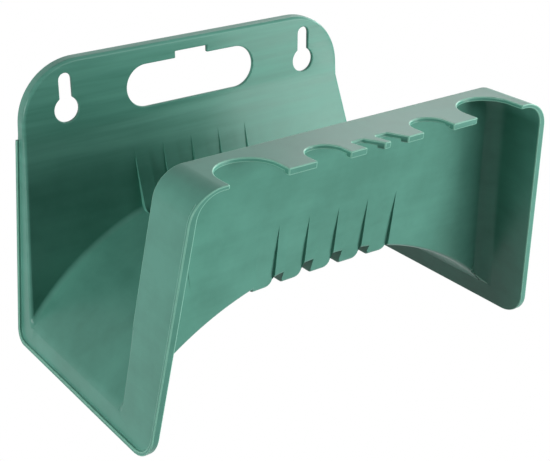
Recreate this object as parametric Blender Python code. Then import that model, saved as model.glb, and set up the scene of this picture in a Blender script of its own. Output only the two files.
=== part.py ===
"""A wall hose hanger: one plastic moulding with a back plate, an arched saddle for
the hose, and a front panel whose shelf has scallops for fittings.

Metres, +Z up. The wall is the plane Y = 0, the hanger's front faces -Y, X = 0 is its
plane of symmetry, and the top edge of the back plate is at Z = 0.

The moulding is one thin skin. It is made as a solid outer form, from which the hose
trough is cut above, and the cavity that leaves a wall of even thickness is cut from
behind, below and in front.
"""

import math

import bmesh
import bpy

# The skin, and how finely its curves are divided
WALL = 0.0025
FINE_FACET = 0.0018
CORNER_STEPS = 9
FOOT_STEPS = 6
TINY_STEPS = 4
TROUGH_STATION = 0.012

# Back plate, as seen from the front
PLATE_HALF_TOP = 0.1139
PLATE_HALF_BEND = 0.1163
PLATE_CORNER = 0.0375
PLATE_DEPTH = 0.0081
BEND_Z = -0.0456
PLATE_SLOPE = 0.223

# Front panel, its shelf and the side walls beside it
FRONT_TOP_Z = -0.0120
FRONT_HALF_TOP = 0.1145
FRONT_HALF_FOOT = 0.1351
FOOT_TAPER = 0.0006
PLATE_HALF_FOOT = FRONT_HALF_FOOT - FOOT_TAPER
FRONT_CORNER = 0.0170
FRONT_REACH = 0.1963
FRONT_LEAN = 0.128
SHELF_DEPTH = 0.0368

# End frames
FOOT_Z = -0.1655
BACK_EDGE_SLOPE = 0.150
BACK_FOOT_CORNER = 0.010
FRONT_FOOT_CORNER = 0.018
LIP_HEIGHT = 0.0018
LIP_WIDTH = 0.0024
LIP_DROP = 0.0003
LIP_TOP_Z = -0.0450

# Saddle that the hose lies on
CROWN_Z = -0.0953
ARCH_RADIUS = 0.1850
PANEL_FOOT_Y = -0.1425
TROUGH_CORNER = 0.0040
PANEL_FOOT_CORNER = 0.0030

# Five pockets across the crown. Above each pocket a strip of the plate and a strip of the
# panel are pressed towards the hose, from nothing at the strip's top to the most below.
POCKET_COUNT = 5
POCKET_PITCH = 0.0206
POCKET_WIDTH = 0.0084
POCKET_FLOOR_Z = -0.1052
POCKET_CORNER = 0.0012
POCKET_LEFT_CORNER = 0.0015
POCKET_RIGHT_CORNER = 0.0036
STRIP_TOP_Z = -0.0620
PLATE_STRIP_WIDTH = 0.0096
PLATE_STRIP_RISE = 0.0034
PANEL_STRIP_WIDTH = 0.0134
PANEL_STRIP_RISE = 0.0018
STEP_WALL = 0.0020
STEP_RUN = 0.0003

# Two keyholes for the wall screws
KEYHOLE_SPACING = 0.1740
KEYHOLE_HEAD = 0.0160
KEYHOLE_SLOT = 0.0082
KEYHOLE_HEAD_Z = -0.0302
KEYHOLE_TOP_Z = -0.0078

# Hand slot with a square notch in its upper edge
HAND_SLOT_LENGTH = 0.0926
HAND_SLOT_HEIGHT = 0.0270
HAND_SLOT_Z = -0.0255
NOTCH_WIDTH = 0.0230
NOTCH_HEIGHT = 0.0044

# Openings in the shelf: centre from the middle, width and depth from the front edge. At its
# closed end a slot is narrower by SLOT_TAPER on each side, and SLOT_LEAN further to the left.
LARGE_SCALLOP = (0.0795, 0.0340, 0.0267)
SMALL_SCALLOP = (0.0348, 0.0210, 0.0180)
SHELF_SLOT = (0.0078, 0.0118, 0.0113)
SLOT_CORNER = 0.0015
SLOT_TAPER = 0.0016
SLOT_LEAN = 0.0040
SHELF_EDGE_HEIGHT = 0.0039
SHELF_EDGE_WIDTH = 0.0045

# The plate's outline holds to this depth, and the panel's to the same depth behind its foot
OUTLINE_ZONE = 2 * PLATE_DEPTH

# Cutting solids run past the faces that they cut by this much
OVERCUT = 0.020

# Points closer than this are one point, faces within this many degrees are one face, and
# edges over this many degrees are shaded sharp
JOIN_DISTANCE = 0.00001
FLAT_ANGLE = 0.2
SHARP_ANGLE = 30.0

# The two sides of the trough's skin. The small walls at a strip's sides lie inside the
# panel's strips and outside the plate's strips.
HOSE_SIDE = dict(
    offset=0.0,
    plate_strip=PLATE_STRIP_WIDTH / 2,
    panel_strip=PANEL_STRIP_WIDTH / 2 + STEP_WALL,
    panel_corner=TROUGH_CORNER,
    pocket_corners=(POCKET_CORNER, POCKET_CORNER),
)
OUTER_SIDE = dict(
    offset=WALL,
    plate_strip=PLATE_STRIP_WIDTH / 2 - STEP_WALL,
    panel_strip=PANEL_STRIP_WIDTH / 2,
    panel_corner=PANEL_FOOT_CORNER,
    pocket_corners=(POCKET_LEFT_CORNER, POCKET_RIGHT_CORNER),
)


def clear_scene():
    for item in list(bpy.data.objects):
        bpy.data.objects.remove(item, do_unlink=True)


def arc(centre, radius, start, end, facet):
    """Points along an arc, in degrees, with its two ends."""
    steps = max(2, math.ceil(math.radians(abs(end - start)) * radius / facet))
    points = []
    for step in range(steps + 1):
        angle = math.radians(start + (end - start) * step / steps)
        points.append((centre[0] + radius * math.cos(angle), centre[1] + radius * math.sin(angle)))
    return points


def corner_arc(before, corner, after, radius, steps):
    """Points of the rounding that replaces one corner of an outline."""
    to_before = (before[0] - corner[0], before[1] - corner[1])
    to_after = (after[0] - corner[0], after[1] - corner[1])
    length_before = math.hypot(*to_before)
    length_after = math.hypot(*to_after)
    u = (to_before[0] / length_before, to_before[1] / length_before)
    v = (to_after[0] / length_after, to_after[1] / length_after)
    half_angle = math.acos(max(-1.0, min(1.0, u[0] * v[0] + u[1] * v[1]))) / 2
    reach = radius / math.tan(half_angle)
    bisector = (u[0] + v[0], u[1] + v[1])
    scale = radius / math.sin(half_angle) / math.hypot(*bisector)
    centre = (corner[0] + bisector[0] * scale, corner[1] + bisector[1] * scale)
    start = (corner[0] + u[0] * reach - centre[0], corner[1] + u[1] * reach - centre[1])
    end = (corner[0] + v[0] * reach - centre[0], corner[1] + v[1] * reach - centre[1])
    first = math.atan2(start[1], start[0])
    turn = math.atan2(end[1], end[0]) - first
    turn = (turn + math.pi) % (2 * math.pi) - math.pi
    points = []
    for step in range(steps + 1):
        angle = first + turn * step / steps
        points.append((centre[0] + radius * math.cos(angle), centre[1] + radius * math.sin(angle)))
    return points


def rounded(outline, corners, steps):
    """An outline with the corners named in a dictionary {index: radius} rounded."""
    points = []
    for index, corner in enumerate(outline):
        if index in corners:
            before = outline[index - 1]
            after = outline[(index + 1) % len(outline)]
            points += corner_arc(before, corner, after, corners[index], steps)
        else:
            points.append(corner)
    return points


def solid_from_rings(name, rings):
    """A closed solid through rings of equal length, with flat caps, faces out."""
    mesh = bmesh.new()
    rows = [[mesh.verts.new(point) for point in ring] for ring in rings]
    count = len(rings[0])
    for row, next_row in zip(rows, rows[1:]):
        for index in range(count):
            after = (index + 1) % count
            mesh.faces.new((row[index], row[after], next_row[after], next_row[index]))
    mesh.faces.new(rows[0][::-1])
    mesh.faces.new(rows[-1])
    bmesh.ops.triangulate(mesh, faces=mesh.faces[:])
    bmesh.ops.recalc_face_normals(mesh, faces=mesh.faces[:])
    data = bpy.data.meshes.new(name)
    mesh.to_mesh(data)
    mesh.free()
    solid = bpy.data.objects.new(name, data)
    bpy.context.collection.objects.link(solid)
    return solid


def prism_along_x(name, outline, start, end):
    rings = [[(x, y, z) for y, z in outline] for x in (start, end)]
    return solid_from_rings(name, rings)


def prism_along_y(name, outline, start, end):
    rings = [[(x, y, z) for x, z in outline] for y in (start, end)]
    return solid_from_rings(name, rings)


def prism_along_z(name, outline, start, end):
    rings = [[(x, y, z) for x, y in outline] for z in (start, end)]
    return solid_from_rings(name, rings)


def combine(target, tool, operation):
    """Apply one Boolean to the target and remove the tool."""
    modifier = target.modifiers.new("combine", "BOOLEAN")
    modifier.operation = operation
    modifier.solver = "EXACT"
    modifier.object = tool
    bpy.context.view_layer.update()
    evaluated = target.evaluated_get(bpy.context.evaluated_depsgraph_get())
    result = bpy.data.meshes.new_from_object(evaluated)
    target.modifiers.clear()
    target.data = result
    bpy.data.objects.remove(tool, do_unlink=True)


def front_half(z):
    """Half width of the side walls' outer faces at the front, at height z."""
    flare = (FRONT_HALF_FOOT - FRONT_HALF_TOP) / (FRONT_TOP_Z - FOOT_Z)
    return FRONT_HALF_TOP + flare * (FRONT_TOP_Z - z)


def plate_half(z):
    """Half width of the back plate's rim at height z, wider below the bend."""
    if z > BEND_Z:
        flare = (PLATE_HALF_BEND - PLATE_HALF_TOP) / -BEND_Z
        return PLATE_HALF_TOP - flare * z
    flare = (PLATE_HALF_FOOT - PLATE_HALF_BEND) / (BEND_Z - FOOT_Z)
    return PLATE_HALF_BEND + flare * (BEND_Z - z)


def width_outline(half_at, top_z, corner, spread, past=OVERCUT):
    """Front view of an end of the outer form: (x, z) points, open at the foot.

    spread moves the sides out for the lip, or in for the cavity. past is how far the
    outline runs below the foot.
    """
    foot_z = FOOT_Z - past
    side = [(half_at(z) + spread, z) for z in (foot_z, BEND_Z)]
    crest = (half_at(top_z) + spread, top_z)
    right = side + corner_arc(side[1], crest, (0.0, top_z), corner, CORNER_STEPS)
    left = [(-x, z) for x, z in reversed(right)]
    return right + left


def lip_plate_outline(past):
    """The plate's outline with the lip's height below, and inside the plate above."""
    foot_z = FOOT_Z - past
    side = [(plate_half(z) + LIP_HEIGHT, z) for z in (foot_z, LIP_TOP_Z)]
    start = (plate_half(LIP_TOP_Z) - LIP_WIDTH, LIP_TOP_Z)
    end = (PLATE_HALF_TOP - PLATE_CORNER, -LIP_WIDTH)
    rise = []
    for step in range(CORNER_STEPS + 1):
        part = step / CORNER_STEPS
        rise.append((start[0] + (end[0] - start[0]) * part, start[1] + (end[1] - start[1]) * part))
    right = side + rise
    left = [(-x, z) for x, z in reversed(right)]
    return right + left


def width_solid(name, plate, front, past=OVERCUT):
    """A solid along Y with the plate's outline behind and the panel's in front."""
    rings = [[(x, past, z) for x, z in plate]]
    rings.append([(x, -OUTLINE_ZONE, z) for x, z in plate])
    rings.append([(x, PANEL_FOOT_Y + OUTLINE_ZONE, z) for x, z in front])
    rings.append([(x, -FRONT_REACH - past, z) for x, z in front])
    return solid_from_rings(name, rings)


def side_outline(inset):
    """Side view of the outer form: (y, z) points. inset moves the free edges in."""
    top = OVERCUT
    foot = FOOT_Z + inset
    back_y = -inset
    back_foot_y = -(BEND_Z - foot) * BACK_EDGE_SLOPE - inset
    front_top_y = -FRONT_REACH - FRONT_LEAN * (top - FRONT_TOP_Z) + inset
    front_foot_y = -FRONT_REACH + FRONT_LEAN * (FRONT_TOP_Z - foot) + inset
    outline = [
        (back_y, top),
        (back_y, BEND_Z),
        (back_foot_y, foot),
        (front_foot_y, foot),
        (front_top_y, top),
    ]
    corners = {2: BACK_FOOT_CORNER - inset, 3: FRONT_FOOT_CORNER - inset}
    return rounded(outline, corners, FOOT_STEPS)


def end_reach():
    """A distance past either end, for cutters that run the whole width."""
    return max(FRONT_HALF_FOOT, PLATE_HALF_FOOT) + LIP_HEIGHT + OVERCUT


def edge_lip():
    """The low lip that runs round the free edges of both end frames."""
    past = OVERCUT / 2
    corner = FRONT_CORNER + LIP_HEIGHT
    front = width_outline(front_half, FRONT_TOP_Z - LIP_DROP, corner, LIP_HEIGHT, past)
    lip = width_solid("lip", lip_plate_outline(past), front, past)
    middle = prism_along_x("middle", side_outline(LIP_WIDTH), -end_reach(), end_reach())
    combine(lip, middle, "DIFFERENCE")
    return lip


def outer_form():
    plate = width_outline(plate_half, 0.0, PLATE_CORNER, 0.0)
    front = width_outline(front_half, FRONT_TOP_Z, FRONT_CORNER, 0.0)
    form = width_solid("hanger_moulding", plate, front)
    combine(form, edge_lip(), "UNION")
    profile = prism_along_x("profile", side_outline(0.0), -end_reach(), end_reach())
    combine(form, profile, "INTERSECT")
    return form


def arch_z(x, offset):
    """Height of the saddle at x, offset below its hose side."""
    radius = ARCH_RADIUS - offset
    return CROWN_Z - ARCH_RADIUS + math.sqrt(radius * radius - x * x)


def pocket_positions():
    middle = (POCKET_COUNT - 1) / 2
    return [(index - middle) * POCKET_PITCH for index in range(POCKET_COUNT)]


def pressed(x, half):
    """1 on a strip of this half width, 0 beside it, and between the two on its step."""
    distance = min(abs(x - middle) for middle in pocket_positions())
    return max(0.0, min(1.0, (half + STEP_RUN - distance) / STEP_RUN))


def floor_height(x, side):
    """Height of the trough's floor at x: the arch, or a pocket's bottom with its corners."""
    half = POCKET_WIDTH / 2 + side["offset"]
    for middle in pocket_positions():
        across = x - middle
        if abs(across) < half + STEP_RUN / 2:
            radius = side["pocket_corners"][0 if across < 0.0 else 1]
            into = min(radius, max(0.0, abs(across) - half + radius))
            rise = radius - math.sqrt(radius * radius - into * into)
            return POCKET_FLOOR_Z - side["offset"] + rise
    return arch_z(x, side["offset"])


def panel_lean(x):
    """How far the panel's hose side comes towards the wall for each metre down, at x."""
    return (PANEL_FOOT_Y - SHELF_DEPTH + FRONT_REACH) / (FRONT_TOP_Z - arch_z(x, 0.0))


def trough_outline(x, side):
    """Side view of one side of the trough's skin at x: (y, z) points."""
    offset = side["offset"]
    floor_z = floor_height(x, side)
    top = OVERCUT
    strip_length = STRIP_TOP_Z - POCKET_FLOOR_Z
    drop = STRIP_TOP_Z - floor_z
    plate_y = -PLATE_DEPTH + offset
    plate_strip_y = plate_y - PLATE_SLOPE * (BEND_Z - STRIP_TOP_Z)
    plate_slope = PLATE_SLOPE + pressed(x, side["plate_strip"]) * PLATE_STRIP_RISE / strip_length
    lean = panel_lean(x)
    panel_top_y = -FRONT_REACH + SHELF_DEPTH - offset
    panel_strip_y = panel_top_y + lean * (FRONT_TOP_Z - STRIP_TOP_Z)
    panel_slope = lean + pressed(x, side["panel_strip"]) * PANEL_STRIP_RISE / strip_length
    outline = [
        (plate_y, top),
        (plate_y, BEND_Z),
        (plate_strip_y, STRIP_TOP_Z),
        (plate_strip_y - plate_slope * drop, floor_z),
        (panel_strip_y + panel_slope * drop, floor_z),
        (panel_strip_y, STRIP_TOP_Z),
        (panel_top_y - lean * (top - FRONT_TOP_Z), top),
    ]
    corners = {3: TROUGH_CORNER + offset, 4: side["panel_corner"]}
    return rounded(outline, corners, TINY_STEPS)


def trough_stations(side):
    """Where the trough's outline is drawn: evenly at the ends, and at each pocket's edges."""
    pocket = POCKET_WIDTH / 2 + side["offset"]
    places = set()
    for middle in pocket_positions():
        for half in (pocket, side["plate_strip"], side["panel_strip"]):
            for sign in (-1, 1):
                places.add(round(middle + sign * half, 7))
                places.add(round(middle + sign * (half + STEP_RUN), 7))
        for sign, radius in zip((-1, 1), side["pocket_corners"]):
            for step in range(TINY_STEPS):
                angle = math.radians(90 * step / TINY_STEPS)
                places.add(round(middle + sign * (pocket - radius + radius * math.sin(angle)), 7))
    reach = end_reach()
    count = math.ceil((reach - max(places)) / TROUGH_STATION)
    spacing = (reach - max(places)) / count
    for index in range(count):
        places.update((reach - index * spacing, -reach + index * spacing))
    return sorted(places)


def trough(name, side):
    """The space that the hose lies in with its pockets, or the same with its skin."""
    rings = []
    for x in trough_stations(side):
        rings.append([(x, y, z) for y, z in trough_outline(x, side)])
    return solid_from_rings(name, rings)


def shelf_edge():
    """The thicker front edge of the shelf, which ends in the two outer scallops."""
    reach = LARGE_SCALLOP[0]
    back = -FRONT_REACH + SHELF_EDGE_WIDTH
    front = -FRONT_REACH - OVERCUT
    outline = [(-reach, front), (reach, front), (reach, back), (-reach, back)]
    low = FRONT_TOP_Z - SHELF_EDGE_HEIGHT
    return prism_along_z("shelf_edge", outline, low, OVERCUT)


def cavity():
    """The hollow behind the plate, under the saddle and in front of the panel."""
    plate = width_outline(plate_half, -WALL, PLATE_CORNER - WALL, -WALL)
    front = width_outline(front_half, FRONT_TOP_Z - WALL, FRONT_CORNER - WALL, -WALL)
    hollow = width_solid("cavity", plate, front)
    combine(hollow, trough("skin", OUTER_SIDE), "DIFFERENCE")
    combine(hollow, shelf_edge(), "DIFFERENCE")
    return hollow


def keyhole_outline(x):
    head = KEYHOLE_HEAD / 2
    slot = KEYHOLE_SLOT / 2
    meet = math.degrees(math.asin(slot / head))
    top = arc((x, KEYHOLE_TOP_Z - slot), slot, 0, 180, FINE_FACET)
    round_head = arc((x, KEYHOLE_HEAD_Z), head, 90 + meet, 450 - meet, FINE_FACET)
    return top + round_head


def hand_slot_outline():
    radius = HAND_SLOT_HEIGHT / 2
    straight = HAND_SLOT_LENGTH / 2 - radius
    top = HAND_SLOT_Z + radius
    right = arc((straight, HAND_SLOT_Z), radius, -90, 90, FINE_FACET)
    left = arc((-straight, HAND_SLOT_Z), radius, 90, 270, FINE_FACET)
    half = NOTCH_WIDTH / 2
    notch = [(half, top), (half, top + NOTCH_HEIGHT), (-half, top + NOTCH_HEIGHT), (-half, top)]
    return right + notch + left


def scallop_outline(x, width, depth):
    """A round-bottomed opening in the shelf, with straight sides at its mouth."""
    radius = width / 2
    centre_y = -FRONT_REACH + depth - radius
    back = arc((x, centre_y), radius, 0, 180, FINE_FACET)
    front = -FRONT_REACH - OVERCUT
    return back + [(x - radius, front), (x + radius, front)]


def shelf_slot_outline(x, width, depth):
    """A slot that narrows towards its closed end, and leans to the left there."""
    back = -FRONT_REACH + depth
    front = -FRONT_REACH - OVERCUT
    half = width / 2
    back_x = x - SLOT_LEAN
    back_half = half - SLOT_TAPER
    outline = [
        (x - half, front),
        (x + half, front),
        (x + half, -FRONT_REACH),
        (back_x + back_half, back),
        (back_x - back_half, back),
        (x - half, -FRONT_REACH),
    ]
    return rounded(outline, {3: SLOT_CORNER, 4: SLOT_CORNER}, TINY_STEPS)


def cut_openings(form):
    for side in (-1, 1):
        outline = keyhole_outline(side * KEYHOLE_SPACING / 2)
        combine(form, prism_along_y("keyhole", outline, -OUTLINE_ZONE, OVERCUT), "DIFFERENCE")
    combine(form, prism_along_y("hand_slot", hand_slot_outline(), -OUTLINE_ZONE, OVERCUT), "DIFFERENCE")
    low = FRONT_TOP_Z - SHELF_EDGE_HEIGHT - WALL
    for side in (-1, 1):
        for x, width, depth in (LARGE_SCALLOP, SMALL_SCALLOP):
            outline = scallop_outline(side * x, width, depth)
            combine(form, prism_along_z("scallop", outline, low, OVERCUT), "DIFFERENCE")
        x, width, depth = SHELF_SLOT
        outline = shelf_slot_outline(side * x, width, depth)
        combine(form, prism_along_z("shelf_slot", outline, low, OVERCUT), "DIFFERENCE")


def tidy_faces(form):
    """Join the flat faces that the cuts left split, and merge stray points."""
    mesh = bmesh.new()
    mesh.from_mesh(form.data)
    bmesh.ops.remove_doubles(mesh, verts=mesh.verts[:], dist=JOIN_DISTANCE)
    flat = math.radians(FLAT_ANGLE)
    bmesh.ops.dissolve_limit(mesh, angle_limit=flat, verts=mesh.verts[:], edges=mesh.edges[:])
    bmesh.ops.triangulate(mesh, faces=mesh.faces[:])
    bmesh.ops.recalc_face_normals(mesh, faces=mesh.faces[:])
    mesh.to_mesh(form.data)
    mesh.free()
    form.data.shade_smooth()
    form.data.set_sharp_from_angle(angle=math.radians(SHARP_ANGLE))


def green_plastic():
    material = bpy.data.materials.new("green_plastic")
    material.use_nodes = True
    shader = material.node_tree.nodes["Principled BSDF"]
    shader.inputs["Base Color"].default_value = (0.115, 0.345, 0.250, 1.0)
    shader.inputs["Roughness"].default_value = 0.42
    shader.inputs["Metallic"].default_value = 0.0
    return material


def hanger():
    form = outer_form()
    combine(form, trough("trough", HOSE_SIDE), "DIFFERENCE")
    combine(form, cavity(), "DIFFERENCE")
    cut_openings(form)
    tidy_faces(form)
    form.data.materials.clear()
    form.data.materials.append(green_plastic())
    return form


clear_scene()
hanger()
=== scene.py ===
import math

import bmesh
import bpy
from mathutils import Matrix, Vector
from mathutils.bvhtree import BVHTree


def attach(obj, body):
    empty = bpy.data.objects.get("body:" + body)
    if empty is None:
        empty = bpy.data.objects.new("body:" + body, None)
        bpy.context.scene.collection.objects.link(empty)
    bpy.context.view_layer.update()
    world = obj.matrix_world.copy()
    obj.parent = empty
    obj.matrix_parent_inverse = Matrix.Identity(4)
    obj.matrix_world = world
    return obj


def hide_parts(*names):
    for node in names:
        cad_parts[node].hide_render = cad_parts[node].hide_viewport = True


# A wall hose hanger of green plastic, seen from its left and from above.
#
# Metres, +Z up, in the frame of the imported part: the wall is the plane Y = 0, the hanger's
# front faces -Y, X = 0 is its middle and the top edge of the back plate is at Z = 0.
# The moulding is one thin skin, made here with the rounded edges, the fillets and the fine
# facets that its solid leaves out.

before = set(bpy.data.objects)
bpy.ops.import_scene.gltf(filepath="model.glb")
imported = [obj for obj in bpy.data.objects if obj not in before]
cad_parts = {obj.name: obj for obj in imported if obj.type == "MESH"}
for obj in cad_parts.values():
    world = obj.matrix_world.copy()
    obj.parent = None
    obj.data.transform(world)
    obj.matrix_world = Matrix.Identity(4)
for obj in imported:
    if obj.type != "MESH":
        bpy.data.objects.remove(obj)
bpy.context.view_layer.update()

# The skin, and how finely its curves are divided
WALL = 0.0025
FINE_FACET = 0.0015
CORNER_STEPS = 24
FOOT_STEPS = 16
SMALL_STEPS = 8
TINY_STEPS = 4
TROUGH_STATION = 0.004

# Back plate, as seen from the front
PLATE_HALF_TOP = 0.1139
PLATE_HALF_BEND = 0.1163
PLATE_CORNER = 0.0375
PLATE_DEPTH = 0.0081
BEND_Z = -0.0456
PLATE_SLOPE = 0.223

# Front panel, its shelf and the side walls beside it
FRONT_TOP_Z = -0.0120
FRONT_HALF_TOP = 0.1145
FRONT_HALF_FOOT = 0.1351
FOOT_TAPER = 0.0006
PLATE_HALF_FOOT = FRONT_HALF_FOOT - FOOT_TAPER
FRONT_CORNER = 0.0170
FRONT_REACH = 0.1963
FRONT_LEAN = 0.128
SHELF_DEPTH = 0.0368

# End frames
FOOT_Z = -0.1655
BACK_EDGE_SLOPE = 0.150
BACK_FOOT_CORNER = 0.010
FRONT_FOOT_CORNER = 0.018
LIP_HEIGHT = 0.0018
LIP_WIDTH = 0.0024
LIP_DROP = 0.0003
LIP_TOP_Z = -0.0450
LIP_FADE = 0.0069

# Saddle that the hose lies on
CROWN_Z = -0.0953
ARCH_RADIUS = 0.1850
PANEL_FOOT_Y = -0.1425
TROUGH_CORNER = 0.0050
PANEL_FOOT_CORNER = 0.0030

# Five pockets across the crown. Above each pocket a strip of the plate and a strip of the
# panel are pressed towards the hose, from nothing at the strip's top to the most below. The
# panel's strips start lower, lie further to the left at their tops by PANEL_STRIP_LEAN, and
# have STRIP_BOW of their rise by STRIP_BOW_PLACE of the way down.
POCKET_COUNT = 5
POCKET_PITCH = 0.0206
POCKET_WIDTH = 0.0084
POCKET_FLOOR_Z = -0.1052
POCKET_CORNER = 0.0012
POCKET_LEFT_CORNER = 0.0015
POCKET_RIGHT_CORNER = 0.0036
STRIP_TOP_Z = -0.0620
PLATE_STRIP_WIDTH = 0.0096
PLATE_STRIP_RISE = 0.0034
PANEL_STRIP_WIDTH = 0.0134
PANEL_STRIP_RISE = 0.0018
PANEL_STRIP_TOP_Z = -0.0655
PANEL_STRIP_LEAN = 0.0013
STRIP_BOW_PLACE = 0.45
STRIP_BOW = 0.65
STEP_WALL = 0.0020
STEP_RUN = 0.0003

# Two keyholes for the wall screws
KEYHOLE_SPACING = 0.1740
KEYHOLE_HEAD = 0.0160
KEYHOLE_SLOT = 0.0082
KEYHOLE_HEAD_Z = -0.0302
KEYHOLE_TOP_Z = -0.0078

# Hand slot with a square notch in its upper edge
HAND_SLOT_LENGTH = 0.0926
HAND_SLOT_HEIGHT = 0.0270
HAND_SLOT_Z = -0.0255
NOTCH_WIDTH = 0.0230
NOTCH_HEIGHT = 0.0044

# Openings in the shelf: centre from the middle, width and depth from the front edge. At its
# closed end a slot is narrower by SLOT_TAPER on each side, and SLOT_LEAN further to the left.
LARGE_SCALLOP = (0.0795, 0.0340, 0.0267)
SMALL_SCALLOP = (0.0348, 0.0210, 0.0180)
SHELF_SLOT = (0.0078, 0.0118, 0.0113)
SLOT_CORNER = 0.0015
SLOT_TAPER = 0.0016
SLOT_LEAN = 0.0040
SHELF_EDGE_HEIGHT = 0.0039
SHELF_EDGE_WIDTH = 0.0045

# Roundings: radius, facets round it, and how close two points are joined before it
RIM_ROUNDING = 0.0022
RIM_STEPS = 5
RIM_JOIN = 0.0003
EDGE_ROUNDING = 0.00065
EDGE_STEPS = 3
EDGE_JOIN = 0.00015
TRAY_FILLET = 0.0100
FILLET_STATIONS = 12

# Points closer than this are one point, faces within this many degrees are one face, and
# edges over this many degrees are rounded and shaded sharp
JOIN_DISTANCE = 0.00001
FLAT_ANGLE = 0.15
SHARP_ANGLE = 40.0

# The plate's outline holds to this depth, and the panel's to the same depth behind its foot
OUTLINE_ZONE = 2 * PLATE_DEPTH

# Cutting solids run past the faces that they cut by this much
OVERCUT = 0.020
# Tools that only touch a face are moved across it by this much
BITE = 0.00005

# The plastic varies between two greens and two roughnesses, and a paler colour is painted on
# its thin outer edges as a highlight. Its flow streaks are painted strongly on the upper plate,
# partly as a painted streaky highlight, and fade between these depths from the wall and these
# heights, where the share of mottling goes from the first value to the second.
DARK_GREEN = (0.083, 0.279, 0.211, 1.0)
LIGHT_GREEN = (0.113, 0.348, 0.269, 1.0)
# Paler colour painted on the thin outer edges as a highlight
PAINTED_EDGE_HIGHLIGHT_COLOUR = (0.24, 0.56, 0.43, 1.0)
ROUGHNESS_RANGE = (0.29, 0.39)
STREAK_SCALE = (9.0, 9.0, 150.0)
STREAK_TILT = (0.0, -0.06, 0.0)
# Where the flow streaks, partly a painted streaky highlight, are strong and where they fade
STREAK_HIGHLIGHT_FADE_Y = (-0.018, -0.030)
STREAK_HIGHLIGHT_FADE_Z = (-0.045, -0.085)
MOTTLE_SHARE = (0.05, 0.80)

# The two sides of the trough's skin. The small walls at a strip's sides lie inside the
# panel's strips and outside the plate's strips.
HOSE_SIDE = dict(
    offset=0.0,
    plate_strip=PLATE_STRIP_WIDTH / 2,
    panel_strip=PANEL_STRIP_WIDTH / 2 + STEP_WALL,
    panel_corner=TROUGH_CORNER,
    pocket_corners=(POCKET_CORNER, POCKET_CORNER),
)
OUTER_SIDE = dict(
    offset=WALL,
    plate_strip=PLATE_STRIP_WIDTH / 2 - STEP_WALL,
    panel_strip=PANEL_STRIP_WIDTH / 2,
    panel_corner=PANEL_FOOT_CORNER,
    pocket_corners=(POCKET_LEFT_CORNER, POCKET_RIGHT_CORNER),
)

# Camera, as the photograph was taken, for an image of 550 x 461 pixels
CAMERA_PLACE = (-0.37579, -0.62039, 0.20043)
CAMERA_YAW = 0.623
CAMERA_PITCH = 0.435
CAMERA_LENS = 77.66
CAMERA_SENSOR = 36.0
CAMERA_NEAR = 0.05
CAMERA_FAR = 50.0

# The lights stand round one point. For each: azimuth from the front to the right and height,
# in degrees, width and height in metres, and power in watts
LIGHT_TARGET = (0.0, -0.10, -0.08)
LIGHT_DISTANCE = 1.6
LIGHTS = {
    "left_light": (-90.0, 12.0, (0.5, 0.5), 15.0),
    "front_light": (20.0, 15.0, (0.5, 0.5), 7.0),
    "right_front_light": (44.0, 0.0, (0.6, 1.0), 19.7),
    "right_light": (95.0, 20.0, (1.1, 0.5), 15.5),
    "back_light": (130.0, 34.0, (0.6, 0.5), 4.5),
}
AMBIENT = 0.02
WHITE = (1.0, 1.0, 1.0, 1.0)

# The floor is well below the hanger, which hangs free
FLOOR_DROP = 0.90
FLOOR_SIZE = 8.0
FLOOR_COLOUR = (0.3, 0.3, 0.3, 1.0)
FLOOR_ROUGHNESS = 0.8


def arc(centre, radius, start, end):
    """Points along an arc, in degrees, with its two ends."""
    steps = max(2, math.ceil(math.radians(abs(end - start)) * radius / FINE_FACET))
    points = []
    for step in range(steps + 1):
        angle = math.radians(start + (end - start) * step / steps)
        points.append((centre[0] + radius * math.cos(angle), centre[1] + radius * math.sin(angle)))
    return points


def corner_arc(before, corner, after, radius, steps):
    """Points of the rounding that replaces one corner of an outline."""
    to_before = (before[0] - corner[0], before[1] - corner[1])
    to_after = (after[0] - corner[0], after[1] - corner[1])
    length_before = math.hypot(*to_before)
    length_after = math.hypot(*to_after)
    u = (to_before[0] / length_before, to_before[1] / length_before)
    v = (to_after[0] / length_after, to_after[1] / length_after)
    half_angle = math.acos(max(-1.0, min(1.0, u[0] * v[0] + u[1] * v[1]))) / 2
    reach = radius / math.tan(half_angle)
    bisector = (u[0] + v[0], u[1] + v[1])
    scale = radius / math.sin(half_angle) / math.hypot(*bisector)
    centre = (corner[0] + bisector[0] * scale, corner[1] + bisector[1] * scale)
    start = (corner[0] + u[0] * reach - centre[0], corner[1] + u[1] * reach - centre[1])
    end = (corner[0] + v[0] * reach - centre[0], corner[1] + v[1] * reach - centre[1])
    first = math.atan2(start[1], start[0])
    turn = math.atan2(end[1], end[0]) - first
    turn = (turn + math.pi) % (2 * math.pi) - math.pi
    points = []
    for step in range(steps + 1):
        angle = first + turn * step / steps
        points.append((centre[0] + radius * math.cos(angle), centre[1] + radius * math.sin(angle)))
    return points


def rounded(outline, corners, steps):
    """An outline with the corners named in a dictionary {index: radius} rounded."""
    points = []
    for index, corner in enumerate(outline):
        if index in corners:
            before = outline[index - 1]
            after = outline[(index + 1) % len(outline)]
            points += corner_arc(before, corner, after, corners[index], steps)
        else:
            points.append(corner)
    return points


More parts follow.
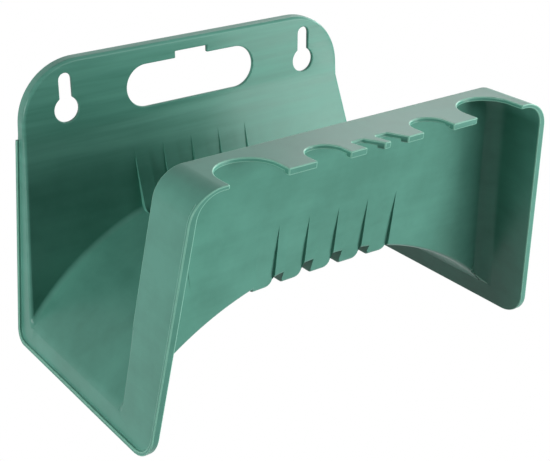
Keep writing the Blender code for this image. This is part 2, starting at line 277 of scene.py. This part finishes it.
def solid_from_rings(name, rings):
    """A closed solid through rings of equal length, with flat caps, faces out."""
    mesh = bmesh.new()
    rows = [[mesh.verts.new(point) for point in ring] for ring in rings]
    count = len(rings[0])
    for row, next_row in zip(rows, rows[1:]):
        for index in range(count):
            after = (index + 1) % count
            mesh.faces.new((row[index], row[after], next_row[after], next_row[index]))
    mesh.faces.new(rows[0][::-1])
    mesh.faces.new(rows[-1])
    bmesh.ops.triangulate(mesh, faces=mesh.faces[:])
    bmesh.ops.recalc_face_normals(mesh, faces=mesh.faces[:])
    data = bpy.data.meshes.new(name)
    mesh.to_mesh(data)
    mesh.free()
    solid = bpy.data.objects.new(name, data)
    bpy.context.collection.objects.link(solid)
    return solid


def prism_along_x(name, outline, start, end):
    rings = [[(x, y, z) for y, z in outline] for x in (start, end)]
    return solid_from_rings(name, rings)


def prism_along_y(name, outline, start, end):
    rings = [[(x, y, z) for x, z in outline] for y in (start, end)]
    return solid_from_rings(name, rings)


def prism_along_z(name, outline, start, end):
    rings = [[(x, y, z) for x, y in outline] for z in (start, end)]
    return solid_from_rings(name, rings)


def combine(target, tool, operation):
    """Apply one Boolean to the target and remove the tool."""
    modifier = target.modifiers.new("combine", "BOOLEAN")
    modifier.operation = operation
    modifier.solver = "EXACT"
    modifier.object = tool
    bpy.context.view_layer.update()
    evaluated = target.evaluated_get(bpy.context.evaluated_depsgraph_get())
    result = bpy.data.meshes.new_from_object(evaluated)
    target.modifiers.clear()
    target.data = result
    bpy.data.objects.remove(tool, do_unlink=True)


def front_half(z):
    """Half width of the side walls' outer faces at the front, at height z."""
    flare = (FRONT_HALF_FOOT - FRONT_HALF_TOP) / (FRONT_TOP_Z - FOOT_Z)
    return FRONT_HALF_TOP + flare * (FRONT_TOP_Z - z)


def plate_half(z):
    """Half width of the back plate's rim at height z, wider below the bend."""
    if z > BEND_Z:
        flare = (PLATE_HALF_BEND - PLATE_HALF_TOP) / -BEND_Z
        return PLATE_HALF_TOP - flare * z
    flare = (PLATE_HALF_FOOT - PLATE_HALF_BEND) / (BEND_Z - FOOT_Z)
    return PLATE_HALF_BEND + flare * (BEND_Z - z)


def width_outline(half_at, top_z, corner, spread, past=OVERCUT):
    """Front view of an end of the outer form: (x, z) points, open at the foot.

    spread moves the sides out for the lip, or in for the cavity. past is how far the
    outline runs below the foot.
    """
    foot_z = FOOT_Z - past
    side = [(half_at(z) + spread, z) for z in (foot_z, BEND_Z)]
    crest = (half_at(top_z) + spread, top_z)
    right = side + corner_arc(side[1], crest, (0.0, top_z), corner, CORNER_STEPS)
    left = [(-x, z) for x, z in reversed(right)]
    return right + left


def lip_plate_outline(past):
    """The plate's outline with the lip's height below, and inside the plate above."""
    foot_z = FOOT_Z - past
    side = [(plate_half(z) + LIP_HEIGHT, z) for z in (foot_z, LIP_TOP_Z)]
    start = (plate_half(LIP_TOP_Z) - LIP_WIDTH, LIP_TOP_Z)
    end = (PLATE_HALF_TOP - PLATE_CORNER, -LIP_WIDTH)
    rise = []
    for step in range(CORNER_STEPS + 1):
        part = step / CORNER_STEPS
        rise.append((start[0] + (end[0] - start[0]) * part, start[1] + (end[1] - start[1]) * part))
    right = side + rise
    left = [(-x, z) for x, z in reversed(right)]
    return right + left


def width_solid(name, plate, front, past=OVERCUT):
    """A solid along Y with the plate's outline behind and the panel's in front."""
    rings = [[(x, past, z) for x, z in plate]]
    rings.append([(x, -OUTLINE_ZONE, z) for x, z in plate])
    rings.append([(x, PANEL_FOOT_Y + OUTLINE_ZONE, z) for x, z in front])
    rings.append([(x, -FRONT_REACH - past, z) for x, z in front])
    return solid_from_rings(name, rings)


def side_outline(inset):
    """Side view of the outer form: (y, z) points. inset moves the free edges in."""
    top = OVERCUT
    foot = FOOT_Z + inset
    back_y = -inset
    back_foot_y = -(BEND_Z - foot) * BACK_EDGE_SLOPE - inset
    front_top_y = -FRONT_REACH - FRONT_LEAN * (top - FRONT_TOP_Z) + inset
    front_foot_y = -FRONT_REACH + FRONT_LEAN * (FRONT_TOP_Z - foot) + inset
    outline = [
        (back_y, top),
        (back_y, BEND_Z),
        (back_foot_y, foot),
        (front_foot_y, foot),
        (front_top_y, top),
    ]
    corners = {2: BACK_FOOT_CORNER - inset, 3: FRONT_FOOT_CORNER - inset}
    return rounded(outline, corners, FOOT_STEPS)


def end_reach():
    """A distance past either end, for cutters that run the whole width."""
    return max(FRONT_HALF_FOOT, PLATE_HALF_FOOT) + LIP_HEIGHT + OVERCUT


def edge_lip():
    """The low lip that runs round the free edges of both end frames."""
    past = OVERCUT / 2
    corner = FRONT_CORNER + LIP_HEIGHT
    front = width_outline(front_half, FRONT_TOP_Z - LIP_DROP, corner, LIP_HEIGHT, past)
    lip = width_solid("lip", lip_plate_outline(past), front, past)
    middle = prism_along_x("middle", side_outline(LIP_WIDTH), -end_reach(), end_reach())
    combine(lip, middle, "DIFFERENCE")
    return lip


def outer_form():
    plate = width_outline(plate_half, 0.0, PLATE_CORNER, 0.0)
    front = width_outline(front_half, FRONT_TOP_Z, FRONT_CORNER, 0.0)
    form = width_solid("hanger_skin", plate, front)
    combine(form, edge_lip(), "UNION")
    profile = prism_along_x("profile", side_outline(0.0), -end_reach(), end_reach())
    combine(form, profile, "INTERSECT")
    return form


def arch_z(x, offset):
    """Height of the saddle at x, offset below its hose side."""
    radius = ARCH_RADIUS - offset
    return CROWN_Z - ARCH_RADIUS + math.sqrt(radius * radius - x * x)


def pocket_positions():
    middle = (POCKET_COUNT - 1) / 2
    return [(index - middle) * POCKET_PITCH for index in range(POCKET_COUNT)]


def pressed(x, half):
    """1 on a strip of this half width, 0 beside it, and between the two on its step."""
    distance = min(abs(x - middle) for middle in pocket_positions())
    return max(0.0, min(1.0, (half + STEP_RUN - distance) / STEP_RUN))


def floor_height(x, side):
    """Height of the trough's floor at x: the arch, or a pocket's bottom with its corners."""
    half = POCKET_WIDTH / 2 + side["offset"]
    for middle in pocket_positions():
        across = x - middle
        if abs(across) < half + STEP_RUN / 2:
            radius = side["pocket_corners"][0 if across < 0.0 else 1]
            into = min(radius, max(0.0, abs(across) - half + radius))
            rise = radius - math.sqrt(radius * radius - into * into)
            return POCKET_FLOOR_Z - side["offset"] + rise
    return arch_z(x, side["offset"])


def panel_lean(x):
    """How far the panel's hose side comes towards the wall for each metre down, at x."""
    return (PANEL_FOOT_Y - SHELF_DEPTH + FRONT_REACH) / (FRONT_TOP_Z - arch_z(x, 0.0))


def trough_outline(x, side):
    """Side view of one side of the trough's skin at x: (y, z) points."""
    offset = side["offset"]
    floor_z = floor_height(x, side)
    top = OVERCUT
    strip_length = STRIP_TOP_Z - POCKET_FLOOR_Z
    drop = STRIP_TOP_Z - floor_z
    panel_drop = PANEL_STRIP_TOP_Z - floor_z
    plate_y = -PLATE_DEPTH + offset
    plate_strip_y = plate_y - PLATE_SLOPE * (BEND_Z - STRIP_TOP_Z)
    plate_slope = PLATE_SLOPE + pressed(x, side["plate_strip"]) * PLATE_STRIP_RISE / strip_length
    lean = panel_lean(x)
    panel_top_y = -FRONT_REACH + SHELF_DEPTH - offset
    panel_strip_y = panel_top_y + lean * (FRONT_TOP_Z - PANEL_STRIP_TOP_Z)
    panel_strip = pressed(x, side["panel_strip"]) * PANEL_STRIP_RISE
    strip_share = panel_drop / (PANEL_STRIP_TOP_Z - POCKET_FLOOR_Z)
    panel_floor_y = panel_strip_y + lean * panel_drop + panel_strip * strip_share
    panel_bow_y = panel_strip_y + lean * panel_drop * STRIP_BOW_PLACE + panel_strip * STRIP_BOW
    bow_z = PANEL_STRIP_TOP_Z - panel_drop * STRIP_BOW_PLACE
    outline = [
        (plate_y, top),
        (plate_y, BEND_Z),
        (plate_strip_y, STRIP_TOP_Z),
        (plate_strip_y - plate_slope * drop, floor_z),
        (panel_floor_y, floor_z),
        (panel_bow_y, bow_z),
        (panel_strip_y, PANEL_STRIP_TOP_Z),
        (panel_top_y - lean * (top - FRONT_TOP_Z), top),
    ]
    corners = {3: TROUGH_CORNER + offset, 4: side["panel_corner"]}
    return rounded(outline, corners, SMALL_STEPS)


def trough_stations(side):
    """Where the trough's outline is drawn: evenly at the ends, and at each pocket's edges."""
    pocket = POCKET_WIDTH / 2 + side["offset"]
    places = set()
    for middle in pocket_positions():
        for half in (pocket, side["plate_strip"], side["panel_strip"]):
            for sign in (-1, 1):
                places.add(round(middle + sign * half, 7))
                places.add(round(middle + sign * (half + STEP_RUN), 7))
        for sign, radius in zip((-1, 1), side["pocket_corners"]):
            for step in range(TINY_STEPS):
                angle = math.radians(90 * step / TINY_STEPS)
                places.add(round(middle + sign * (pocket - radius + radius * math.sin(angle)), 7))
    reach = end_reach()
    count = math.ceil((reach - max(places)) / TROUGH_STATION)
    spacing = (reach - max(places)) / count
    for index in range(count):
        places.update((reach - index * spacing, -reach + index * spacing))
    return sorted(places)


def trough(name, side):
    """The space that the hose lies in with its pockets, or the same with its skin.

    A ring's last three points are the bow and the top of the panel's strip, which lean to
    the left, and the panel's top, which doesn't.
    """
    bow_lean = PANEL_STRIP_LEAN * (1.0 - STRIP_BOW_PLACE)
    rings = []
    for x in trough_stations(side):
        ring = [(x, y, z) for y, z in trough_outline(x, side)]
        ring[-3] = (x - bow_lean, *ring[-3][1:])
        ring[-2] = (x - PANEL_STRIP_LEAN, *ring[-2][1:])
        rings.append(ring)
    return solid_from_rings(name, rings)


def shelf_edge():
    """The thicker front edge of the shelf, which ends in the two outer scallops."""
    reach = LARGE_SCALLOP[0]
    back = -FRONT_REACH + SHELF_EDGE_WIDTH
    front = -FRONT_REACH - OVERCUT
    outline = [(-reach, front), (reach, front), (reach, back), (-reach, back)]
    low = FRONT_TOP_Z - SHELF_EDGE_HEIGHT
    return prism_along_z("shelf_edge", outline, low, OVERCUT)


def panel_front_y(x, z):
    """The panel's front face, at x and height z."""
    return -FRONT_REACH + SHELF_DEPTH - WALL + panel_lean(x) * (FRONT_TOP_Z - z)


def tray_fillet(side, inner_front):
    """The large rounding between the panel's front and one side wall, as a post.

    inner_front is the front view of the hollow; the post follows its right side up to
    the shelf, and is WALL / 2 thicker than the space that it fills.
    """
    inner = WALL / 2
    right = [point for point in inner_front if point[0] > 0.0]
    foot, bend = right[0], right[1]
    low_z = arch_z(FRONT_HALF_FOOT, 0.0)
    places = []
    for step in range(FILLET_STATIONS):
        z = low_z + (bend[1] - low_z) * step / FILLET_STATIONS
        share = (z - foot[1]) / (bend[1] - foot[1])
        places.append((foot[0] + (bend[0] - foot[0]) * share, z))
    places += right[1:]
    places.append((right[-1][0], right[-1][1] + inner))
    rings = []
    for wall_x, z in places:
        corner = (wall_x, panel_front_y(wall_x, z))
        before = (wall_x, corner[1] - 2 * TRAY_FILLET)
        panel_x = wall_x - TRAY_FILLET
        after = (panel_x, panel_front_y(panel_x, z))
        ring = corner_arc(before, corner, after, TRAY_FILLET, SMALL_STEPS)
        ring = [(x + BITE, y + BITE) for x, y in ring]
        ring += [(ring[-1][0], corner[1] + inner), (wall_x + inner, corner[1] + inner)]
        ring.append((wall_x + inner, ring[0][1]))
        rings.append([(side * x, y, z) for x, y in ring])
    post = solid_from_rings("fillet", rings)
    reach = end_reach()
    stations = math.ceil(reach / TROUGH_STATION)
    skin = WALL - BITE * 4
    arch = []
    for index in range(stations + 1):
        x = reach * index / stations
        arch.append((side * x, arch_z(x, skin)))
    arch += [(side * reach, OVERCUT), (0.0, OVERCUT)]
    above = prism_along_y("above", arch, -FRONT_REACH - OVERCUT, 0.0)
    combine(post, above, "INTERSECT")
    return post


def cavity():
    """The hollow behind the plate, under the saddle and in front of the panel."""
    plate = width_outline(plate_half, -WALL, PLATE_CORNER - WALL, -WALL)
    front = width_outline(front_half, FRONT_TOP_Z - WALL, FRONT_CORNER - WALL, -WALL)
    hollow = width_solid("cavity", plate, front)
    combine(hollow, trough("skin", OUTER_SIDE), "DIFFERENCE")
    for side in (-1, 1):
        combine(hollow, tray_fillet(side, front), "DIFFERENCE")
    combine(hollow, shelf_edge(), "DIFFERENCE")
    return hollow


def keyhole_outline(x):
    head = KEYHOLE_HEAD / 2
    slot = KEYHOLE_SLOT / 2
    meet = math.degrees(math.asin(slot / head))
    top = arc((x, KEYHOLE_TOP_Z - slot), slot, 0, 180)
    round_head = arc((x, KEYHOLE_HEAD_Z), head, 90 + meet, 450 - meet)
    return top + round_head


def hand_slot_outline():
    radius = HAND_SLOT_HEIGHT / 2
    straight = HAND_SLOT_LENGTH / 2 - radius
    top = HAND_SLOT_Z + radius
    right = arc((straight, HAND_SLOT_Z), radius, -90, 90)
    left = arc((-straight, HAND_SLOT_Z), radius, 90, 270)
    half = NOTCH_WIDTH / 2
    notch = [(half, top), (half, top + NOTCH_HEIGHT), (-half, top + NOTCH_HEIGHT), (-half, top)]
    return right + notch + left


def scallop_outline(x, width, depth):
    """A round-bottomed opening in the shelf, with straight sides at its mouth."""
    radius = width / 2
    centre_y = -FRONT_REACH + depth - radius
    back = arc((x, centre_y), radius, 0, 180)
    front = -FRONT_REACH - OVERCUT
    return back + [(x - radius, front), (x + radius, front)]


def shelf_slot_outline(x, width, depth):
    """A slot that narrows towards its closed end, and leans to the left there."""
    back = -FRONT_REACH + depth
    front = -FRONT_REACH - OVERCUT
    half = width / 2
    back_x = x - SLOT_LEAN
    back_half = half - SLOT_TAPER
    outline = [
        (x - half, front),
        (x + half, front),
        (x + half, -FRONT_REACH),
        (back_x + back_half, back),
        (back_x - back_half, back),
        (x - half, -FRONT_REACH),
    ]
    return rounded(outline, {3: SLOT_CORNER, 4: SLOT_CORNER}, TINY_STEPS)


def cut_openings(form):
    for side in (-1, 1):
        outline = keyhole_outline(side * KEYHOLE_SPACING / 2)
        combine(form, prism_along_y("keyhole", outline, -OUTLINE_ZONE, OVERCUT), "DIFFERENCE")
    combine(form, prism_along_y("hand_slot", hand_slot_outline(), -OUTLINE_ZONE, OVERCUT), "DIFFERENCE")
    low = FRONT_TOP_Z - SHELF_EDGE_HEIGHT - WALL
    for side in (-1, 1):
        for x, width, depth in (LARGE_SCALLOP, SMALL_SCALLOP):
            outline = scallop_outline(side * x, width, depth)
            combine(form, prism_along_z("scallop", outline, low, OVERCUT), "DIFFERENCE")
        x, width, depth = SHELF_SLOT
        outline = shelf_slot_outline(side * x, width, depth)
        combine(form, prism_along_z("shelf_slot", outline, low, OVERCUT), "DIFFERENCE")


def inside_profile(y, z, inset):
    """True where a point lies further than inset inside the side view's free edges."""
    foot = FOOT_Z + inset
    back = -inset - max(0.0, BEND_Z - z) * BACK_EDGE_SLOPE
    front = -FRONT_REACH + FRONT_LEAN * (FRONT_TOP_Z - z) + inset
    return z > foot and front < y < back


def at_pockets(place):
    """True around the pockets and their strips, whose small steps keep their edges."""
    reach = POCKET_COUNT * POCKET_PITCH / 2 + POCKET_WIDTH
    return place.z < BEND_Z and abs(place.x) < reach


def join_flat_faces(mesh, join):
    """Join the points closer than join, but not at the pockets, and then the flat faces."""
    plain = [vertex for vertex in mesh.verts if not at_pockets(vertex.co)]
    bmesh.ops.remove_doubles(mesh, verts=plain, dist=join)
    bmesh.ops.remove_doubles(mesh, verts=mesh.verts[:], dist=JOIN_DISTANCE)
    bmesh.ops.dissolve_degenerate(mesh, dist=JOIN_DISTANCE, edges=mesh.edges[:])
    flat = math.radians(FLAT_ANGLE)
    bmesh.ops.dissolve_limit(mesh, angle_limit=flat, verts=mesh.verts[:], edges=mesh.edges[:])


def at_lip_end(place):
    """True at the ends of the lip, where its step is too low to round."""
    at_top = abs(place.z - LIP_TOP_Z) < LIP_DROP / 2 and place.y > -2 * LIP_WIDTH
    at_corner = place.z > FRONT_TOP_Z - LIP_FADE and abs(place.x) > FRONT_HALF_TOP - FRONT_CORNER
    near_front = place.y < -FRONT_REACH + 2 * LIP_WIDTH
    return at_top or (at_corner and near_front and inside_profile(place.y, place.z, LIP_WIDTH / 2))


def mark_painted_edge_highlights(mesh, before, faces):
    """Give the new faces on outer edges, apart from the plate's openings, the mark 1, where the
    material paints a paler highlight.
    """
    highlight_mark = mesh.faces.layers.float["painted_edge_highlight"]
    for face in faces:
        middle = face.calc_center_median()
        place, normal, index, distance = before.find_nearest(middle)
        at_plate = middle.z > LIP_TOP_Z and middle.y > -OUTLINE_ZONE
        if (middle - place).dot(normal) < 0.0 and not at_plate:
            face[highlight_mark] = 1.0


def round_edges(form, width, steps, join, wanted, highlight_mark=False):
    """Round the sharp edges that are wanted, keep every point near the old surface, and when asked mark
    the new outer-edge faces for the painted edge highlight.
    """
    mesh = bmesh.new()
    mesh.from_mesh(form.data)
    join_flat_faces(mesh, join)
    if highlight_mark:
        mesh.faces.layers.float.new("painted_edge_highlight")
    sharp = []
    for edge in mesh.edges:
        if not edge.is_manifold or edge.calc_face_angle() < math.radians(SHARP_ANGLE):
            continue
        middle = (edge.verts[0].co + edge.verts[1].co) / 2
        if not at_pockets(middle) and not at_lip_end(middle) and wanted(middle, edge):
            sharp.append(edge)
    before = BVHTree.FromBMesh(mesh)
    made = bmesh.ops.bevel(mesh, geom=sharp, offset=width, offset_type="OFFSET", segments=steps,
                           profile=0.5, affect="EDGES", clamp_overlap=False)
    # The new outer-edge faces are marked for the painted edge highlight
    if highlight_mark:
        mark_painted_edge_highlights(mesh, before, made["faces"])
    for vertex in mesh.verts:
        place, normal, face, distance = before.find_nearest(vertex.co)
        if distance > width:
            vertex.co = place
    bmesh.ops.remove_doubles(mesh, verts=mesh.verts[:], dist=JOIN_DISTANCE)
    mesh.to_mesh(form.data)
    mesh.free()


def on_trough_rim(middle, edge):
    """True on the trough's own edges: the plate's front rim and the saddle's two ends."""
    behind = middle.y > PANEL_FOOT_Y - TROUGH_CORNER
    return edge.is_convex and behind and inside_profile(middle.y, middle.z, 2 * LIP_WIDTH)


def any_edge(middle, edge):
    return True


def hanger():
    """The whole moulding. The trough's rim is rounded before the hollow behind it is cut."""
    form = outer_form()
    combine(form, trough("trough", HOSE_SIDE), "DIFFERENCE")
    round_edges(form, RIM_ROUNDING, RIM_STEPS, RIM_JOIN, on_trough_rim)
    combine(form, cavity(), "DIFFERENCE")
    cut_openings(form)
    round_edges(form, EDGE_ROUNDING, EDGE_STEPS, EDGE_JOIN, any_edge, highlight_mark=True)
    form.data.shade_smooth()
    form.data.set_sharp_from_angle(angle=math.radians(SHARP_ANGLE))
    form.modifiers.new("even shading", "WEIGHTED_NORMAL").keep_sharp = True
    return form


def add_node(tree, kind, **values):
    """A node with its attributes and its inputs' values set by name."""
    node = tree.nodes.new(kind)
    for name, value in values.items():
        if name in node.inputs:
            node.inputs[name].default_value = value
        else:
            setattr(node, name, value)
    return node


def map_range(tree, value, before, after):
    """The output of a node that takes the first range of a value to the second."""
    ramp = add_node(tree, "ShaderNodeMapRange")
    ramp.inputs["From Min"].default_value, ramp.inputs["From Max"].default_value = before
    ramp.inputs["To Min"].default_value, ramp.inputs["To Max"].default_value = after
    tree.links.new(value, ramp.inputs["Value"])
    return ramp.outputs["Result"]


def larger_of(tree, first, second):
    """The output of a node that gives the larger of two values."""
    larger = add_node(tree, "ShaderNodeMath", operation="MAXIMUM")
    tree.links.new(first, larger.inputs[0])
    tree.links.new(second, larger.inputs[1])
    return larger.outputs[0]


def mottle_share(tree, place):
    """A value that is small on the upper plate, where the flow streaks are painted strongly, partly as
    a streaky highlight, and large elsewhere.
    """
    parts = add_node(tree, "ShaderNodeSeparateXYZ")
    tree.links.new(place.outputs["Object"], parts.inputs["Vector"])
    depth = map_range(tree, parts.outputs["Y"], STREAK_HIGHLIGHT_FADE_Y, MOTTLE_SHARE)
    height = map_range(tree, parts.outputs["Z"], STREAK_HIGHLIGHT_FADE_Z, MOTTLE_SHARE)
    return larger_of(tree, depth, height)


def green_plastic():
    """Matt green plastic with mottling, a fine moulded grain, flow streaks painted strongly on the
    upper plate partly as a streaky highlight, and a paler painted highlight on its thin outer edges.
    """
    material = bpy.data.materials.new("green_plastic")
    material.use_nodes = True
    tree = material.node_tree
    shader = tree.nodes["Principled BSDF"]
    place = add_node(tree, "ShaderNodeTexCoord")

    streak_place = add_node(tree, "ShaderNodeMapping", Rotation=STREAK_TILT, Scale=STREAK_SCALE)
    streaks_and_highlight = add_node(tree, "ShaderNodeTexNoise", Scale=1.0, Detail=3.0, Roughness=0.55)
    mottle = add_node(tree, "ShaderNodeTexNoise", Scale=28.0, Detail=4.0, Roughness=0.6)
    tree.links.new(place.outputs["Object"], streak_place.inputs["Vector"])
    tree.links.new(streak_place.outputs["Vector"], streaks_and_highlight.inputs["Vector"])
    tree.links.new(place.outputs["Object"], mottle.inputs["Vector"])

    # Flow streaks, painted strongly on the upper plate partly as a streaky highlight, and mottling
    # elsewhere
    both = add_node(tree, "ShaderNodeMix", data_type="FLOAT")
    tree.links.new(mottle_share(tree, place), both.inputs[0])
    tree.links.new(streaks_and_highlight.outputs["Fac"], both.inputs[2])
    tree.links.new(mottle.outputs["Fac"], both.inputs[3])
    tint = add_node(tree, "ShaderNodeValToRGB")
    tint.color_ramp.elements[0].position = 0.36
    tint.color_ramp.elements[0].color = DARK_GREEN
    tint.color_ramp.elements[1].position = 0.64
    tint.color_ramp.elements[1].color = LIGHT_GREEN
    tree.links.new(both.outputs[0], tint.inputs["Fac"])
    # The marked outer-edge faces get a paler colour: a painted highlight
    painted_edge_highlight = add_node(tree, "ShaderNodeAttribute", attribute_name="painted_edge_highlight")
    painted_highlight = add_node(tree, "ShaderNodeMix", data_type="RGBA")
    painted_highlight.inputs[7].default_value = PAINTED_EDGE_HIGHLIGHT_COLOUR
    tree.links.new(painted_edge_highlight.outputs["Fac"], painted_highlight.inputs[0])
    tree.links.new(tint.outputs["Color"], painted_highlight.inputs[6])
    tree.links.new(painted_highlight.outputs[2], shader.inputs["Base Color"])

    roughness = map_range(tree, both.outputs[0], (0.3, 0.7), ROUGHNESS_RANGE)
    tree.links.new(roughness, shader.inputs["Roughness"])

    waves = add_node(tree, "ShaderNodeTexNoise", Scale=30.0, Detail=1.0)
    grain = add_node(tree, "ShaderNodeTexNoise", Scale=1800.0, Detail=2.0)
    tree.links.new(place.outputs["Object"], waves.inputs["Vector"])
    tree.links.new(place.outputs["Object"], grain.inputs["Vector"])
    wave_bump = add_node(tree, "ShaderNodeBump", Strength=0.25, Distance=0.0008)
    grain_bump = add_node(tree, "ShaderNodeBump", Strength=0.10, Distance=0.0001)
    tree.links.new(waves.outputs["Fac"], wave_bump.inputs["Height"])
    tree.links.new(grain.outputs["Fac"], grain_bump.inputs["Height"])
    tree.links.new(wave_bump.outputs["Normal"], grain_bump.inputs["Normal"])
    tree.links.new(grain_bump.outputs["Normal"], shader.inputs["Normal"])
    shader.inputs["IOR"].default_value = 1.49
    shader.inputs["Specular IOR Level"].default_value = 0.25
    return material


def aim(thing, target):
    direction = Vector(target) - thing.location
    thing.rotation_mode = "QUATERNION"
    thing.rotation_quaternion = direction.to_track_quat("-Z", "Y")


def area_light(name, azimuth, height, size, power):
    """A soft light that stands round LIGHT_TARGET and is aimed at it."""
    side = math.radians(azimuth)
    up = math.radians(height)
    outward = Vector((math.sin(side) * math.cos(up), -math.cos(side) * math.cos(up), math.sin(up)))
    data = bpy.data.lights.new(name, "AREA")
    data.shape = "RECTANGLE"
    data.size, data.size_y = size
    data.energy = power
    light = bpy.data.objects.new(name, data)
    bpy.context.collection.objects.link(light)
    light.location = Vector(LIGHT_TARGET) + LIGHT_DISTANCE * outward
    aim(light, LIGHT_TARGET)


def white_for_camera(tree, lit, output_socket):
    """White where the camera or a reflection looks, and the lit shader elsewhere."""
    path = add_node(tree, "ShaderNodeLightPath")
    seen = larger_of(tree, path.outputs["Is Camera Ray"], path.outputs["Is Glossy Ray"])
    seen = larger_of(tree, seen, path.outputs["Is Transmission Ray"])
    in_world = lit.bl_idname == "ShaderNodeBackground"
    kind = "ShaderNodeBackground" if in_world else "ShaderNodeEmission"
    white = add_node(tree, kind, Color=WHITE, Strength=1.0)
    mix = add_node(tree, "ShaderNodeMixShader")
    tree.links.new(seen, mix.inputs[0])
    tree.links.new(lit.outputs[0], mix.inputs[1])
    tree.links.new(white.outputs[0], mix.inputs[2])
    tree.links.new(mix.outputs[0], output_socket)


def studio():
    world = bpy.data.worlds.new("studio")
    bpy.context.scene.world = world
    world.use_nodes = True
    tree = world.node_tree
    ambient = tree.nodes["Background"]
    ambient.inputs["Color"].default_value = WHITE
    ambient.inputs["Strength"].default_value = AMBIENT
    white_for_camera(tree, ambient, tree.nodes["World Output"].inputs["Surface"])
    for name, (azimuth, height, size, power) in LIGHTS.items():
        area_light(name, azimuth, height, size, power)


def pale_floor():
    bpy.ops.mesh.primitive_plane_add(size=FLOOR_SIZE, location=(0.0, 0.0, FOOT_Z - FLOOR_DROP))
    floor = bpy.context.active_object
    floor.name = "floor"
    material = bpy.data.materials.new("pale_floor")
    material.use_nodes = True
    tree = material.node_tree
    shader = tree.nodes["Principled BSDF"]
    shader.inputs["Base Color"].default_value = FLOOR_COLOUR
    shader.inputs["Roughness"].default_value = FLOOR_ROUGHNESS
    white_for_camera(tree, shader, tree.nodes["Material Output"].inputs["Surface"])
    floor.data.materials.append(material)


def photo_camera():
    data = bpy.data.cameras.new("camera")
    data.lens = CAMERA_LENS
    data.sensor_width = CAMERA_SENSOR
    data.clip_start = CAMERA_NEAR
    data.clip_end = CAMERA_FAR
    camera = bpy.data.objects.new("camera", data)
    bpy.context.collection.objects.link(camera)
    camera.location = CAMERA_PLACE
    forward = Vector((
        math.sin(CAMERA_YAW) * math.cos(CAMERA_PITCH),
        math.cos(CAMERA_YAW) * math.cos(CAMERA_PITCH),
        -math.sin(CAMERA_PITCH),
    ))
    camera.rotation_mode = "QUATERNION"
    camera.rotation_quaternion = forward.to_track_quat("-Z", "Y")
    bpy.context.scene.camera = camera


skin = hanger()
skin.data.materials.clear()
skin.data.materials.append(green_plastic())
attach(skin, "root")
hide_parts("hanger_moulding")
pale_floor()
studio()
photo_camera()
bpy.context.scene.view_settings.view_transform = "Standard"
